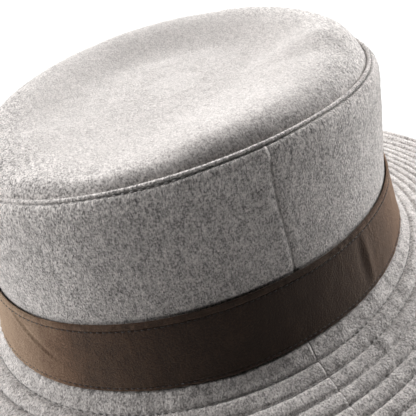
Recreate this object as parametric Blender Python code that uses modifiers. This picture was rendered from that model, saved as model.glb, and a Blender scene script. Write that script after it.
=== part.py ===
"""A stitched wool hat: oval flat-topped crown, wide sewn brim, and a loose suede band round the crown.

Metres, +Z up, front of the hat towards -Y. The brim's level rim stands on z = 0, under the hat's middle.

Every cloth layer is a profile turned round Z, made oval, and given its thickness inwards. The layers are
written in turned form: a radius, and a height above the seam where the crown meets the brim.
"""

import math

import bpy

# ---- Driving dimensions ------------------------------------------------------------------------------------

SEGMENTS = 36
STEP_DEG = 360 / SEGMENTS
GAP = 0.0003
ON_AXIS = 0.00005
SHARP_DEG = 40

WOOL = 0.0018
CANVAS = 0.0005
BRIM_CANVAS = 0.0006
SATIN = 0.0003
SWEATBAND = 0.0009
THREAD = 0.0003

OVAL = 0.0108
OVAL_SWELL = 0.0016
FRONT_LIFT = 0.0041
SIDE_LIFT = 0.0027
LIFT_HALF_WIDTH = 0.070
LIFT_HALF_LENGTH = 0.090

CROWN_HEIGHT = 0.0904
CROWN_BASE_RADIUS = 0.0947
CROWN_WAIST_RADIUS = 0.0886
CROWN_WAIST_HEIGHT = 0.0323
CROWN_FLARE_CURVE = 1.3
SHOULDER_RADIUS = 0.0030
SHOULDER_CENTRE = (0.0806, 0.0854)
SHOULDER_END_DEG = 68
RIDGE_RADIUS = 0.0806
TIP_DIP = 0.0045
TIP_BENDS = ((0.0509, 0.10), (0.0278, 0.62), (0.0146, 1.0), (0.0066, 0.90), (0.0021, 0.42))
WALL_BENDS = (0.058, CROWN_WAIST_HEIGHT, 0.020, 0.009)
SEAMS_FORWARD_DEG = 5
LEFT_SEAM_DEG = 180 + SEAMS_FORWARD_DEG
RIGHT_SEAM_DEG = -SEAMS_FORWARD_DEG

CANVAS_TOP = 0.0830
LINING_TOP = 0.0800
LINING_BENDS = (0.058, CROWN_WAIST_HEIGHT, 0.0205, 0.0085)
SWEATBAND_HEIGHTS = (0.0260, 0.0205, 0.0090, 0.0010)
SWEATBAND_FOOT = -0.0030
SWEATBAND_SEAM_HEIGHT = -0.0012
SWEATBAND_JOINT_DEG = 90 + SEAMS_FORWARD_DEG
TAB_HEIGHTS = (0.0240, 0.0090)
LABEL_HEIGHTS = (0.0220, 0.0100)
TAPE_TOP = 0.0065
TAPE_FOOT = -0.0040

BRIM_RADIUS = 0.1772
BRIM_SLOPE = 0.27
BRIM_BREAK_RISE = 0.0026
BRIM_BREAK_RADIUS = 0.1100
BRIM_BREAK_CURVE = 1.6
BRIM_EASE_RADIUS = 0.1490
BRIM_LEVEL_RADIUS = 0.1715
BRIM_FOLD_RADIUS = 0.0020
BRIM_HOLE_RADIUS = 0.0929

ROW_COUNT = 12
ROW_FIRST_RADIUS = 0.0974
ROW_PITCH = 0.0069

BAND_TOP = (0.0905, 0.0323)
BAND_FOOT = (0.0983, 0.0009)
BAND_SUEDE = 0.0008
BAND_BACKING = 0.0003
BAND_HEM = 0.0030
BAND_JOINT_DEG = RIGHT_SEAM_DEG

# ---- Worked out from them ----------------------------------------------------------------------------------

BRIM_THICKNESS = 2 * WOOL + BRIM_CANVAS + 2 * GAP
INSIDE_CANVAS = WOOL + GAP
INSIDE_LINING = INSIDE_CANVAS + CANVAS + GAP
INSIDE_SWEATBAND = INSIDE_LINING + SATIN + GAP

WOOL_GREY = (0.56, 0.55, 0.53)
THREAD_GREY = (0.36, 0.35, 0.34)
THREAD_BROWN = (0.020, 0.014, 0.010)
THREAD_BLACK = (0.03, 0.03, 0.03)
CANVAS_CREAM = (0.62, 0.60, 0.55)
LINING_GREY = (0.17, 0.16, 0.16)
SWEATBAND_GREY = (0.090, 0.085, 0.085)
TAPE_GREY = (0.30, 0.29, 0.28)
LABEL_CREAM = (0.75, 0.73, 0.68)
SUEDE_BROWN = (0.075, 0.048, 0.034)
TWILL_BROWN = (0.050, 0.035, 0.027)


# ---- The hat's form ----------------------------------------------------------------------------------------


def brim_height(radius):
    """Height of the brim's upper surface: steep at the crown, then an even slope that eases out level."""
    radius = max(radius, CROWN_BASE_RADIUS)
    sloping = min(radius, BRIM_EASE_RADIUS) - CROWN_BASE_RADIUS
    easing = min(max(radius - BRIM_EASE_RADIUS, 0.0), BRIM_LEVEL_RADIUS - BRIM_EASE_RADIUS)
    eased = easing - easing**2 / (2 * (BRIM_LEVEL_RADIUS - BRIM_EASE_RADIUS))
    return -GAP - BRIM_SLOPE * (sloping + eased) - (break_rise(CROWN_BASE_RADIUS) - break_rise(radius))


def break_rise(radius):
    """How far the brim curves up towards the crown above its even slope."""
    reach = BRIM_BREAK_RADIUS - BAND_FOOT[0]
    return BRIM_BREAK_RISE * (max(BRIM_BREAK_RADIUS - radius, 0.0) / reach) ** BRIM_BREAK_CURVE


SEAM_HEIGHT = BRIM_THICKNESS - brim_height(BRIM_RADIUS)


def crown_wall(height):
    """Radius of the crown's outer face: it flares below the waist and leans in slightly above it."""
    if height < CROWN_WAIST_HEIGHT:
        flare = CROWN_BASE_RADIUS - CROWN_WAIST_RADIUS
        share = (CROWN_WAIST_HEIGHT - height) / CROWN_WAIST_HEIGHT
        return CROWN_WAIST_RADIUS + flare * share**CROWN_FLARE_CURVE
    lean = CROWN_WAIST_RADIUS - SHOULDER_CENTRE[0] - SHOULDER_RADIUS
    return CROWN_WAIST_RADIUS - lean * (height - CROWN_WAIST_HEIGHT) / (SHOULDER_CENTRE[1] - CROWN_WAIST_HEIGHT)


def oval_shift(radius, height):
    """How far a point moves out along Y, and in along X, to make the turned form oval."""
    up = min(max(height / CROWN_HEIGHT, 0.0), 1.0)
    return (OVAL + OVAL_SWELL * math.sin(math.pi * up)) * min(radius / RIDGE_RADIUS, 1.0)


def place(radius, height, angle):
    """World position of a point of the turned form."""
    shift = oval_shift(radius, height)
    x = (radius - shift) * math.cos(angle)
    y = (radius + shift) * math.sin(angle)
    up = min(max(height / CROWN_HEIGHT, 0.0), 1.0)
    saddle = (x / LIFT_HALF_WIDTH) ** 2 - (y / LIFT_HALF_LENGTH) ** 2
    lift = up**2 * (SIDE_LIFT * saddle - FRONT_LIFT * y / LIFT_HALF_LENGTH)
    return x, y, SEAM_HEIGHT + height + lift


# ---- Profiles: (radius, height) from the top down the outer side ------------------------------------------


def wall(*heights):
    """Points of the crown's outer face at the given heights."""
    return [(crown_wall(height), height) for height in heights]


def crown_side_profile():
    centre_radius, centre_height = SHOULDER_CENTRE
    points = []
    for degrees in (SHOULDER_END_DEG, 45, 20, 0):
        angle = math.radians(degrees)
        radius = centre_radius + SHOULDER_RADIUS * math.cos(angle)
        points.append((radius, centre_height + SHOULDER_RADIUS * math.sin(angle)))
    return points + wall(*WALL_BENDS, 2 * GAP)


def tip_profile():
    """The flat top: level in the middle, dipping to a ring, then turned up into the ridge at its edge."""
    points = [(0.0, CROWN_HEIGHT)]
    for inset, share in TIP_BENDS:
        points.append((RIDGE_RADIUS - inset, CROWN_HEIGHT - TIP_DIP * share))
    points.append((RIDGE_RADIUS, CROWN_HEIGHT))
    return points


def brim_top_profile(start, end):
    """The brim's upper surface between two radii, with points only where it bends."""
    bends = [CROWN_BASE_RADIUS, BAND_FOOT[0], BRIM_BREAK_RADIUS, BRIM_EASE_RADIUS, BRIM_LEVEL_RADIUS]
    radii = [start] + [radius for radius in bends if start < radius < end] + [end]
    return [(radius, brim_height(radius)) for radius in radii]


def fold(centre_height, end_height):
    """The brim's edge turned from level to upright, ending in a short upright run."""
    side = 1 if end_height < centre_height else -1
    points = []
    for degrees in (90, 60, 30, 0):
        angle = math.radians(degrees)
        radius = BRIM_RADIUS - BRIM_FOLD_RADIUS + BRIM_FOLD_RADIUS * math.cos(angle)
        points.append((radius, centre_height + side * BRIM_FOLD_RADIUS * math.sin(angle)))
    points.append((BRIM_RADIUS, end_height))
    return points


def lowered(profile, depth):
    """The profile moved square to itself towards its inner side, with its corners mitred."""
    angles = [math.atan2(b[1] - a[1], b[0] - a[0]) for a, b in zip(profile, profile[1:])]
    moved = []
    for (radius, height), before, after in zip(profile, angles[:1] + angles, angles + angles[-1:]):
        middle = (before + after) / 2
        reach = depth / math.cos((after - before) / 2)
        moved.append((max(radius + reach * math.sin(middle), 0.0), height - reach * math.cos(middle)))
    return moved


def between(top, foot, *shares):
    """Points of a straight profile, each at a share of the way down from top to foot."""
    points = []
    for share in shares:
        points.append(tuple(a + (b - a) * share for a, b in zip(top, foot)))
    return points


# ---- Makers ------------------------------------------------------------------------------------------------


def clear_scene():
    for thing in list(bpy.data.objects):
        bpy.data.objects.remove(thing)


def make_collection(name):
    collection = bpy.data.collections.new(name)
    bpy.context.scene.collection.children.link(collection)
    return collection


def material(name, colour, roughness):
    made = bpy.data.materials.new(name)
    made.use_nodes = True
    shader = made.node_tree.nodes["Principled BSDF"]
    shader.inputs["Base Color"].default_value = (*colour, 1.0)
    shader.inputs["Roughness"].default_value = roughness
    shader.inputs["Metallic"].default_value = 0.0
    return made


def turned_mesh(name, profile, span):
    """The profile turned by span radians, as a mesh with no thickness."""
    outline = bpy.data.meshes.new(name + "_outline")
    edges = [(index, index + 1) for index in range(len(profile) - 1)]
    outline.from_pydata([(radius, 0.0, height) for radius, height in profile], edges, [])
    guide = bpy.data.objects.new(name + "_guide", outline)
    bpy.context.scene.collection.objects.link(guide)
    screw = guide.modifiers.new("Turn", "SCREW")
    screw.angle = span
    screw.steps = round(SEGMENTS * span / math.tau)
    screw.render_steps = screw.steps
    screw.use_merge_vertices = True
    screw.merge_threshold = ON_AXIS
    graph = bpy.context.evaluated_depsgraph_get()
    mesh = bpy.data.meshes.new_from_object(guide.evaluated_get(graph))
    bpy.data.objects.remove(guide)
    mesh.name = name
    return mesh


def cloth(name, profile, thickness, look, arc=None):
    """A layer of cloth: the profile turned, made oval, and thickened inwards.

    It is a closed ring, or with an arc, in degrees, a strip whose ends stop half a gap short of it.
    """
    start = math.radians(RIGHT_SEAM_DEG)
    end = start + math.tau
    if arc:
        slit = GAP / (2 * min(radius for radius, height in profile))
        start, end = math.radians(arc[0]) + slit, math.radians(arc[1]) - slit
    mesh = turned_mesh(name, profile, end - start)
    for vertex in mesh.vertices:
        x, y, height = vertex.co
        vertex.co = place(math.hypot(x, y), height, math.atan2(y, x) + start)
    mesh.shade_smooth()
    mesh.set_sharp_from_angle(angle=math.radians(SHARP_DEG))
    layer = bpy.data.objects.new(name, mesh)
    HAT.objects.link(layer)
    solid = layer.modifiers.new("Thickness", "SOLIDIFY")
    solid.thickness = thickness
    solid.offset = -1.0
    solid.use_even_offset = True
    mesh.materials.clear()
    mesh.materials.append(look)
    return layer


def thread(name, points, look):
    """A row of stitching as a closed tube through the given points."""
    curve = bpy.data.curves.new(name, "CURVE")
    curve.dimensions = "3D"
    curve.bevel_depth = THREAD
    curve.bevel_resolution = 0
    spline = curve.splines.new("POLY")
    spline.points.add(len(points) - 1)
    for spot, point in zip(spline.points, points):
        spot.co = (*point, 1.0)
    spline.use_cyclic_u = True
    curve.materials.append(look)
    stitching = bpy.data.objects.new(name, curve)
    HAT.objects.link(stitching)
    return stitching


def ring(radius, height):
    """The points of a row of stitching all round the hat."""
    start = math.radians(RIGHT_SEAM_DEG)
    return [place(radius, height, start + math.tau * step / SEGMENTS) for step in range(SEGMENTS)]


def beside(profile_point, direction_deg, distance):
    """A point beside a profile point, at an angle above the horizontal and a distance from it."""
    angle = math.radians(direction_deg)
    return profile_point[0] + distance * math.cos(angle), profile_point[1] + distance * math.sin(angle)


def halves(name, profile, thickness, look):
    """A front and a back panel that meet a little in front of the hat's two sides."""
    cloth(name + "_back", profile, thickness, look, (RIGHT_SEAM_DEG, LEFT_SEAM_DEG))
    cloth(name + "_front", profile, thickness, look, (LEFT_SEAM_DEG, RIGHT_SEAM_DEG + 360))


# ---- Crown -------------------------------------------------------------------------------------------------


def make_crown():
    wool = material("grey_wool", WOOL_GREY, 0.95)
    sewing = material("grey_thread", THREAD_GREY, 0.7)
    canvas = material("pale_canvas", CANVAS_CREAM, 0.9)
    cloth("crown_tip", tip_profile(), WOOL, wool)
    halves("crown_side", crown_side_profile(), WOOL, wool)
    groove = beside(SHOULDER_CENTRE, 40, SHOULDER_RADIUS + GAP + THREAD)
    thread("tip_topstitching", ring(*groove), sewing)
    cloth("tip_canvas", lowered(tip_profile()[:-1], INSIDE_CANVAS), CANVAS, canvas)
    cloth("side_canvas", lowered(wall(CANVAS_TOP, *LINING_BENDS), INSIDE_CANVAS), CANVAS, canvas)


def make_lining():
    satin = material("grey_satin", LINING_GREY, 0.45)
    cloth("lining_tip", lowered(tip_profile()[:-2], INSIDE_LINING), SATIN, satin)
    halves("lining_side", lowered(wall(LINING_TOP, *LINING_BENDS), INSIDE_LINING), SATIN, satin)


def make_sweatband():
    """The band that rests on the head, sewn to the brim seam, with its joint at the back."""
    ribbed = material("sweatband_cotton", SWEATBAND_GREY, 0.85)
    joint = SWEATBAND_JOINT_DEG
    face = wall(*SWEATBAND_HEIGHTS) + [(CROWN_BASE_RADIUS, SWEATBAND_FOOT)]
    cloth("sweatband", lowered(face, INSIDE_SWEATBAND), SWEATBAND, ribbed, (joint, joint + 360))
    inner = INSIDE_SWEATBAND + SWEATBAND + GAP
    tab = lowered(wall(*TAB_HEIGHTS), inner)
    cloth("sweatband_joint_tab", tab, SATIN, ribbed, (joint - STEP_DEG, joint + STEP_DEG))
    label = material("blank_label", LABEL_CREAM, 0.6)
    patch = lowered(wall(*LABEL_HEIGHTS), inner)
    cloth("size_label", patch, SATIN, label, (joint + 2 * STEP_DEG, joint + 4 * STEP_DEG))
    seam = ring(CROWN_BASE_RADIUS - inner - THREAD, SWEATBAND_SEAM_HEIGHT)
    thread("sweatband_stitching", seam, material("black_thread", THREAD_BLACK, 0.6))
    tape = material("seam_tape_cotton", TAPE_GREY, 0.85)
    strip = lowered(wall(TAPE_TOP, 2 * GAP), INSIDE_CANVAS)
    cloth("crown_seam_tape", strip + [(strip[-1][0], TAPE_FOOT)], SATIN, tape)


# ---- Brim --------------------------------------------------------------------------------------------------


def make_brim():
    wool = material("brim_wool", WOOL_GREY, 0.95)
    canvas = material("brim_canvas_cotton", CANVAS_CREAM, 0.9)
    flat_end = BRIM_RADIUS - BRIM_FOLD_RADIUS
    upper = brim_top_profile(BRIM_HOLE_RADIUS, flat_end)
    under = lowered(upper, BRIM_THICKNESS)
    middle = brim_height(BRIM_RADIUS) - BRIM_THICKNESS / 2
    upper_edge = fold(upper[-1][1] - BRIM_FOLD_RADIUS, middle + GAP / 2)
    under_edge = fold(under[-1][1] + BRIM_FOLD_RADIUS, middle - GAP / 2)
    halves("brim_top", upper[:-1] + upper_edge, WOOL, wool)
    halves("brim_under", under_edge[::-1] + under[-2::-1], WOOL, wool)
    filling = brim_top_profile(BRIM_HOLE_RADIUS, flat_end - 2 * GAP)
    cloth("brim_canvas", lowered(filling, WOOL + GAP), BRIM_CANVAS, canvas)


def height_on(profile, radius):
    """Height of a straight-sided profile at a radius."""
    for (near, near_height), (far, far_height) in zip(profile, profile[1:]):
        if near <= radius <= far:
            return near_height + (far_height - near_height) * (radius - near) / (far - near)
    raise ValueError(f"the profile has no point at radius {radius}")


def make_brim_rows():
    """Concentric rows of stitching, each through the whole brim, seen here as the thread lying on top."""
    sewing = material("brim_thread", THREAD_GREY, 0.7)
    above = lowered(brim_top_profile(BRIM_HOLE_RADIUS, BRIM_RADIUS - BRIM_FOLD_RADIUS), -(GAP + THREAD))
    for row in range(ROW_COUNT):
        radius = ROW_FIRST_RADIUS + ROW_PITCH * row
        thread(f"brim_row_{row + 1:02d}", ring(radius, height_on(above, radius)), sewing)


# ---- Band --------------------------------------------------------------------------------------------------


def make_band():
    """The loose band: a suede strap with stitched hems, its backing, and a cover for its joint."""
    suede = material("brown_suede", SUEDE_BROWN, 0.8)
    twill = material("brown_twill", TWILL_BROWN, 0.9)
    sewing = material("brown_thread", THREAD_BROWN, 0.6)
    height = math.dist(BAND_TOP, BAND_FOOT)
    whole_turn = (BAND_JOINT_DEG, BAND_JOINT_DEG + 360)
    cloth("band_strap", between(BAND_TOP, BAND_FOOT, 0, 0.5, 1), BAND_SUEDE, suede, whole_turn)
    trim = BAND_HEM / (2 * height)
    backing = lowered(between(BAND_TOP, BAND_FOOT, trim, 0.5, 1 - trim), BAND_SUEDE + GAP)
    cloth("band_backing", backing, BAND_BACKING, twill, whole_turn)
    hem = BAND_HEM / height
    upper, lower = lowered(between(BAND_TOP, BAND_FOOT, hem, 1 - hem), -(GAP + THREAD))
    thread("band_upper_stitching", ring(*upper), sewing)
    thread("band_lower_stitching", ring(*lower), sewing)
    cover = lowered(between(BAND_TOP, BAND_FOOT, 0, 1), -(BAND_SUEDE + 2 * THREAD + 2 * GAP))
    over_joint = (BAND_JOINT_DEG - STEP_DEG, BAND_JOINT_DEG + STEP_DEG)
    cloth("band_joint_cover", cover, BAND_SUEDE, suede, over_joint)


clear_scene()
HAT = make_collection("wool_hat")
make_crown()
make_lining()
make_sweatband()
make_brim()
make_brim_rows()
make_band()
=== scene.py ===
"""Looks of a stitched wool hat with a loose suede band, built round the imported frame.

Metres, +Z up, front of the hat towards -Y. Surfaces are written in the turned form that the hat was drawn in:
a radius, a height above the seam of crown and brim, and an angle round Z, which place() makes oval.
"""

import math

import bpy
import numpy as np
from mathutils import Matrix, Vector


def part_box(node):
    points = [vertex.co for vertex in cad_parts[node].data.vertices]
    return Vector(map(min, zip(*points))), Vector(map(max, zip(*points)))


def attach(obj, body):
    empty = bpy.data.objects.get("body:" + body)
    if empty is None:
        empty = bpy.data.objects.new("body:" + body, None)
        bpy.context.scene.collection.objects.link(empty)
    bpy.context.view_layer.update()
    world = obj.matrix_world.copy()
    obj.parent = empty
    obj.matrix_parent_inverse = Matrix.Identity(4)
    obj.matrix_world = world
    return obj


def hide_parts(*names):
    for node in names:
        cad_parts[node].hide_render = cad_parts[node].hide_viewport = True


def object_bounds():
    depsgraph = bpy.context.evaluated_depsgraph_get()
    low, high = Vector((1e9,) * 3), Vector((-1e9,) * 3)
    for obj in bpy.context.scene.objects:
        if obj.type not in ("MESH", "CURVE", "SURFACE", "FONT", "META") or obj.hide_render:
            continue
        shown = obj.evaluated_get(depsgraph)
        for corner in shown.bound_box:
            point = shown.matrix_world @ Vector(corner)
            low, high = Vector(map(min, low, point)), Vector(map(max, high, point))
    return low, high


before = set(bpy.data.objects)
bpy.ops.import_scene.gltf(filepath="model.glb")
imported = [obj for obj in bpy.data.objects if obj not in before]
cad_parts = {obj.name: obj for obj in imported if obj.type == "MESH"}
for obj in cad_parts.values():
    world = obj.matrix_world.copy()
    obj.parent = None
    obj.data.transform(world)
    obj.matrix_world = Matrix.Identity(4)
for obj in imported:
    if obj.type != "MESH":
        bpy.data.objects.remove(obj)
CAD_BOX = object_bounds()

# ---- The hat's form, read from the frame -------------------------------------------------------------------

MM = 0.001
GAP = 0.3 * MM

FACET = math.cos(math.radians(5))  # the frame's rings have straight sides, with corners 5 degrees off its axes
BRIM_RADIUS = (CAD_BOX[1].x + CAD_BOX[1].y) / 2 / FACET
OVAL = (CAD_BOX[1].y - CAD_BOX[1].x) / 2 / FACET
OVAL_SWELL = 1.6 * MM
SEAM_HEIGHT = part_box("brim_top_front")[1].z + GAP
FRONT_LIFT = 4.1 * MM
SIDE_LIFT = 2.7 * MM
LIFT_HALF_WIDTH = 70.0 * MM
LIFT_HALF_LENGTH = 90.0 * MM

CROWN_HEIGHT = 90.4 * MM
CROWN_BASE_RADIUS = 94.7 * MM
CROWN_WAIST_RADIUS = 88.6 * MM
CROWN_WAIST_HEIGHT = 32.3 * MM
SHOULDER_RADIUS = 3.0 * MM
SHOULDER_CENTRE = (80.6 * MM, 85.4 * MM)
RIDGE_RADIUS = 80.6 * MM
FLARE_CURVE = 1.3

BRIM_SLOPE = 0.27
BRIM_BREAK_RISE = 2.6 * MM
BRIM_BREAK_RADIUS = 110.0 * MM
BRIM_BREAK_CURVE = 1.6
BRIM_EASE_RADIUS = 149.0 * MM
BRIM_LEVEL_RADIUS = 171.5 * MM
BRIM_HOLE_RADIUS = 92.9 * MM
BRIM_FOLD_RADIUS = 2.0 * MM
BRIM_THICKNESS = 4.8 * MM

ROW_COUNT = 12
ROW_FIRST_RADIUS = 97.4 * MM
ROW_PITCH = 6.9 * MM

BAND_TOP = (90.5 * MM, 32.3 * MM)
BAND_FOOT = (98.3 * MM, 0.9 * MM)
BAND_HEM = 3.0 * MM
BAND_LOWER_HEM = 1.8 * MM
BAND_LENGTH = math.dist(BAND_TOP, BAND_FOOT)  # down its face

WOOL = 1.2 * MM
BRIM_WOOL = 1.1 * MM
SATIN = 0.3 * MM


def break_rise(radius):
    """How far the brim curves up towards the crown above its even slope."""
    reach = BRIM_BREAK_RADIUS - BAND_FOOT[0]
    return BRIM_BREAK_RISE * (np.maximum(BRIM_BREAK_RADIUS - radius, 0.0) / reach) ** BRIM_BREAK_CURVE


def brim_height(radius):
    """Height of the brim's upper surface: steep at the crown, then an even slope that eases out level."""
    radius = np.maximum(radius, CROWN_BASE_RADIUS)
    width = BRIM_LEVEL_RADIUS - BRIM_EASE_RADIUS
    even = np.minimum(radius, BRIM_EASE_RADIUS) - CROWN_BASE_RADIUS
    easing = np.clip(radius - BRIM_EASE_RADIUS, 0.0, width)
    fall = BRIM_SLOPE * (even + easing - easing**2 / (2 * width))
    return -GAP - fall - (break_rise(CROWN_BASE_RADIUS) - break_rise(radius))


def crown_wall(height):
    """Radius of the crown's outer face: it flares below the waist and leans in slightly above it."""
    below = np.maximum(CROWN_WAIST_HEIGHT - height, 0.0) / CROWN_WAIST_HEIGHT
    above = np.maximum(height - CROWN_WAIST_HEIGHT, 0.0) / (SHOULDER_CENTRE[1] - CROWN_WAIST_HEIGHT)
    flare = CROWN_BASE_RADIUS - CROWN_WAIST_RADIUS
    lean = CROWN_WAIST_RADIUS - SHOULDER_CENTRE[0] - SHOULDER_RADIUS
    return CROWN_WAIST_RADIUS + flare * below**FLARE_CURVE - lean * above


def place(radius, height, angle):
    """World positions of points of the turned form, as an array whose last axis is x, y, z."""
    radius, height, angle = np.broadcast_arrays(radius, height, angle)
    up = np.clip(height / CROWN_HEIGHT, 0.0, 1.0)
    shift = (OVAL + OVAL_SWELL * np.sin(math.pi * up)) * np.minimum(radius / RIDGE_RADIUS, 1.0)
    x = (radius - shift) * np.cos(angle)
    y = (radius + shift) * np.sin(angle)
    saddle = (x / LIFT_HALF_WIDTH) ** 2 - (y / LIFT_HALF_LENGTH) ** 2
    lift = up**2 * (SIDE_LIFT * saddle - FRONT_LIFT * y / LIFT_HALF_LENGTH)
    return np.stack([x, y, SEAM_HEIGHT + height + lift], axis=-1)


# ---- Smooth unevenness -------------------------------------------------------------------------------------


def lattice(cells, seed):
    """A pseudo-random number from -1 to 1 for each whole-number cell, the same on every run."""
    mixed = cells[..., 0] * 73856093 ^ cells[..., 1] * 19349663 ^ cells[..., 2] * 83492791 ^ seed * 2654435761
    mixed = (mixed ^ (mixed >> 13)) * 1274126177 & 0xFFFFFFFF
    mixed = (mixed ^ (mixed >> 16)) & 0xFFFF
    return mixed / 32767.5 - 1.0


def unevenness(points, cell, seed=1):
    """Smooth noise from -1 to 1 over positions, with lumps about one cell wide."""
    scaled = np.asarray(points, float) / cell
    base = np.floor(scaled).astype(np.int64)
    part = scaled - base
    part = part * part * (3 - 2 * part)
    total = np.zeros(scaled.shape[:-1])
    for corner in range(8):
        step = np.array([corner & 1, corner >> 1 & 1, corner >> 2 & 1])
        weight = np.prod(np.where(step == 1, part, 1 - part), axis=-1)
        total += weight * lattice(base + step, seed)
    return total


def smooth_step(value, low, high):
    """0 below low, 1 above high, and an S-shaped rise between them."""
    share = np.clip((value - low) / (high - low), 0.0, 1.0)
    return share * share * (3 - 2 * share)


def hump(value, centre, width):
    """A smooth bump: 1 at the centre, falling away on both sides."""
    return np.exp(-(((value - centre) / width) ** 2))


# ---- Meshes ------------------------------------------------------------------------------------------------


def normals_of(points, closed):
    """Outward normals of a grid of points: angle along the first axis, top to bottom along the second."""
    if closed:
        padded = np.concatenate([points[-1:], points, points[:1]])
        around = (padded[2:] - padded[:-2]) / 2
    else:
        around = np.gradient(points, axis=0)
    down = np.gradient(points, axis=1)
    normal = np.cross(down, around)
    return normal / np.maximum(np.linalg.norm(normal, axis=-1, keepdims=True), 1e-12)


def mesh_from(name, vertices, quads, uv=None):
    """A smooth-shaded mesh from arrays of positions and of faces that all have as many corners."""
    mesh = bpy.data.meshes.new(name)
    mesh.vertices.add(len(vertices))
    mesh.vertices.foreach_set("co", np.asarray(vertices, np.float32).ravel())
    mesh.loops.add(quads.size)
    mesh.loops.foreach_set("vertex_index", quads.astype(np.int32).ravel())
    mesh.polygons.add(len(quads))
    mesh.polygons.foreach_set("loop_start", np.arange(0, quads.size, quads.shape[1], dtype=np.int32))
    if uv is not None:
        layer = mesh.uv_layers.new(name="Cloth")
        layer.data.foreach_set("uv", np.asarray(uv[quads.ravel()], np.float32).ravel())
    mesh.update(calc_edges=True)
    mesh.validate()
    mesh.shade_smooth()
    return mesh


def grid_quads(across, along, closed):
    """Faces of a grid, facing the way normals_of() points."""
    first = np.arange(across if closed else across - 1)[:, None]
    second = np.arange(along - 1)[None, :]
    following = (first + 1) % across
    corners = [first * along + second, first * along + second + 1, following * along + second + 1]
    corners.append(following * along + second)
    return np.stack([np.broadcast_to(c, (len(first), along - 1)) for c in corners], -1).reshape(-1, 4)


def add_piece(name, mesh, look, body, replaced=()):
    """Puts a mesh in the scene as a piece that moves with a body and stands for CAD nodes."""
    piece = bpy.data.objects.new(name, mesh)
    bpy.context.scene.collection.objects.link(piece)
    mesh.materials.append(look)
    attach(piece, body)
    if replaced:
        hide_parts(*replaced)
    return piece


def cloth_piece(name, points, thickness, look, replaced=(), body="hat", closed=False):
    """A layer of cloth from a grid of points on its outer face. Its thickness goes inwards."""
    across, along = points.shape[:2]
    lengths = np.linalg.norm(np.diff(points, axis=1), axis=-1)
    down = np.concatenate([np.zeros((across, 1)), np.cumsum(lengths, axis=1)], axis=1)
    middle = points[:, along // 2]
    steps = np.linalg.norm(np.diff(middle, axis=0), axis=-1)
    around = np.concatenate([[0.0], np.cumsum(steps)])[:, None] + 0 * down
    uv = np.stack([around, down], -1).reshape(-1, 2)
    mesh = mesh_from(name, points.reshape(-1, 3), grid_quads(across, along, closed), uv)
    piece = add_piece(name, mesh, look, body, replaced)
    if closed:
        piece.modifiers.new("Centre", "WELD").merge_threshold = 0.001 * MM
    solid = piece.modifiers.new("Thickness", "SOLIDIFY")
    solid.thickness = thickness
    solid.offset = -1.0
    return piece


def tube_piece(name, points, look, body, uv_parts, replaced=()):
    """A closed piece from a grid of points that joins up both ways."""
    across, along = points.shape[:2]
    first = np.arange(across)[:, None]
    second = np.arange(along)[None, :]
    following, beyond = (first + 1) % across, (second + 1) % along
    row, next_row = first * along, following * along
    corners = np.broadcast_arrays(row + second, row + beyond, next_row + beyond, next_row + second)
    quads = np.stack(corners, -1).reshape(-1, 4)
    uv = np.stack(np.broadcast_arrays(*uv_parts), -1).reshape(-1, 2)
    return add_piece(name, mesh_from(name, points.reshape(-1, 3), quads, uv), look, body, replaced)


def ring_angles(count):
    """Evenly spaced angles once round."""
    return np.linspace(0, math.tau, count, endpoint=False)


def full_turn(count):
    """The same as a column of a grid, from 5 degrees back, where the frame's rings have a corner."""
    return ring_angles(count)[:, None] - math.radians(5)


def span(start, end, count):
    """A column of angles from one place to another, given in degrees."""
    return np.radians(np.linspace(start, end, count))[:, None]


def stitches(name, path, up, length, thickness, look, replaced=(), body="hat", bow=0.3, fill=0.72):
    """A row of sewn stitches along a closed path, each a thin spindle that dives into the cloth at both ends.

    up holds, for each point of the path, the direction square to the cloth.
    """
    ring = np.concatenate([path, path[:1]])
    steps = np.linalg.norm(np.diff(ring, axis=0), axis=1)
    run = np.concatenate([[0.0], np.cumsum(steps)])
    count = int(round(run[-1] / length))
    pitch = run[-1] / count
    shares = np.linspace(-0.5, 0.5, 7)
    at = (np.arange(count)[:, None] + 0.5 + shares[None, :] * fill) * pitch
    wrapped = np.mod(at, run[-1])
    raised = np.concatenate([up, up[:1]])
    centre = np.stack([np.interp(wrapped, run, ring[:, k]) for k in range(3)], -1)
    lift = np.stack([np.interp(wrapped, run, raised[:, k]) for k in range(3)], -1)
    lift /= np.linalg.norm(lift, axis=-1, keepdims=True)
    arch = 1 - (2 * shares) ** 2
    centre = centre + lift * (thickness * (bow * arch - 0.9 * np.abs(2 * shares) ** 4))[None, :, None]
    along = np.gradient(centre, axis=1)
    along /= np.linalg.norm(along, axis=-1, keepdims=True)
    side = np.cross(along, lift)
    width = thickness / 2 * (0.45 + 0.55 * np.sqrt(np.maximum(arch, 0.0)))
    sides = 6
    turn = np.arange(sides) * math.tau / sides
    ring_points = (
        centre[:, :, None, :]
        + side[:, :, None, :] * (np.cos(turn)[None, None, :, None] * width[None, :, None, None])
        + lift[:, :, None, :] * (np.sin(turn)[None, None, :, None] * width[None, :, None, None])
    )
    rings = len(shares)
    vertices = ring_points.reshape(-1, 3)
    one = []
    for ring_index in range(rings - 1):
        for corner in range(sides):
            near, far = ring_index * sides, (ring_index + 1) * sides
            following = (corner + 1) % sides
            one.append((near + corner, near + following, far + following, far + corner))
    last = (rings - 1) * sides
    one += [(3, 2, 1, 0), (5, 4, 3, 0)]
    one += [(last, last + 1, last + 2, last + 3), (last, last + 3, last + 4, last + 5)]
    quads = (np.array(one)[None] + (np.arange(count) * rings * sides)[:, None, None]).reshape(-1, 4)
    return add_piece(name, mesh_from(name, vertices, quads[:, ::-1]), look, body, replaced)


def chance(count, seed):
    """Numbers from 0 to 1, the same on every run."""
    return np.random.default_rng(seed).random(count)


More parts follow.
